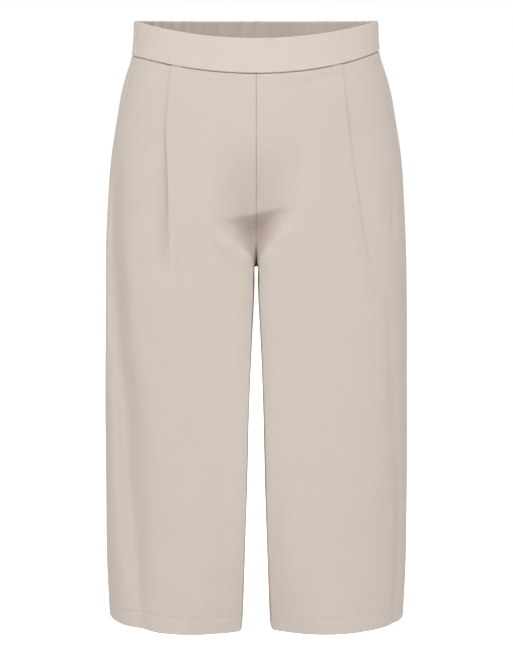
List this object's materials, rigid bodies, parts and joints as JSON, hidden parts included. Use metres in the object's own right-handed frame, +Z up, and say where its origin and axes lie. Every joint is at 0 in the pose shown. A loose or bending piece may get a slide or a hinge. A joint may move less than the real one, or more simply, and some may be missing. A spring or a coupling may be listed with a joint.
{
  "type": "culottes",
  "caption": "Cropped wide-leg culottes as worn: smooth front waistband, gathered elastic back band, pleated front, turned-up hems.",
  "frame": {"origin": "centre of the waist, at mid height of the waistband at the sides", "axes": "+Z up, -Y towards the front of the garment, +X towards the wearer's left"},
  "size_m": [0.378, 0.251, 0.7442],
  "materials": {
    "crepe": "matt heavy crepe, stone beige, very fine pebbled weave",
    "band": "the same crepe, two layers with a soft stiffening, pressed smooth",
    "elastic_band": "the same crepe gathered over elastic",
    "hem": "back of the same crepe, turned up and stitched"
  },
  "bodies": {
    "root": {"front_right": "crepe", "front_left": "crepe", "back_right": "crepe", "back_left": "crepe", "waistband_front": "band", "waistband_back": "elastic_band", "hem_right": "hem", "hem_left": "hem"}
  },
  "joints": []
}
